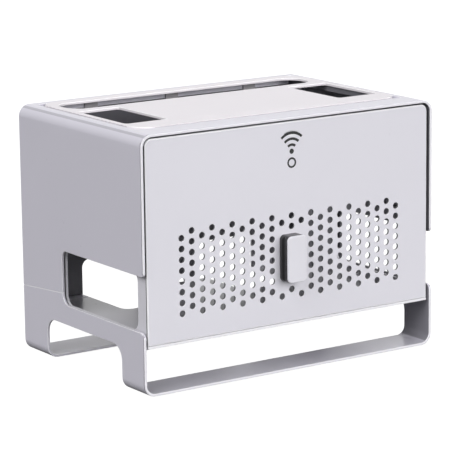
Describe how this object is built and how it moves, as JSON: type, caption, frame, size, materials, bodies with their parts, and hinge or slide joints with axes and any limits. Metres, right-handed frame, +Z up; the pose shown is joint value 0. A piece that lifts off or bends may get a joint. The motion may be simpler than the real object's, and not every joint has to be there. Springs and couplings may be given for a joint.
{
  "type": "router storage box",
  "caption": "Desktop box on legs that hides a wifi router and its cables, with a pull-out perforated drawer, a slotted top deck and open sides.",
  "frame": {"origin": "on the table under the middle of the box, handle included", "axes": "+X to the right seen from the front, +Y from the front to the back, +Z up"},
  "size_m": [0.32, 0.2238, 0.2356],
  "materials": {
    "shell_plastic": "satin moulded ABS, cool pale grey",
    "deck_plastic": "satin moulded ABS, pale grey",
    "front_plastic": "satin moulded ABS, pale lavender grey",
    "grip_plastic": "semi-gloss dark grey ABS",
    "runner_plastic": "low friction acetal",
    "soft_rubber": "matt",
    "screw_steel": "zinc plated",
    "mark_ink": "printed"
  },
  "bodies": {
    "housing": {"upper_shell": "shell_plastic", "lower_base": "shell_plastic", "rear_panel": "shell_plastic", "top_deck": "deck_plastic", "runner_left": "runner_plastic", "runner_right": "runner_plastic", "drawer_stops": "runner_plastic", "stop_bumpers": "soft_rubber", "foot_pads": "soft_rubber", "shell_screws": "screw_steel", "rear_panel_screws": "screw_steel", "runner_screws": "screw_steel"},
    "drawer": {"drawer_front": "front_plastic", "drawer_side_left": "front_plastic", "drawer_side_right": "front_plastic", "drawer_floor": "front_plastic", "pull_handle": "grip_plastic", "handle_cap": "front_plastic", "handle_screws": "screw_steel", "front_screws": "screw_steel", "floor_screws": "screw_steel", "signal_mark": "mark_ink"}
  },
  "joints": [
    {"name": "drawer_slide", "type": "slide", "parent": "housing", "child": "drawer", "axis": [0, -1, 0], "range_m": [0, 0.15]}
  ]
}
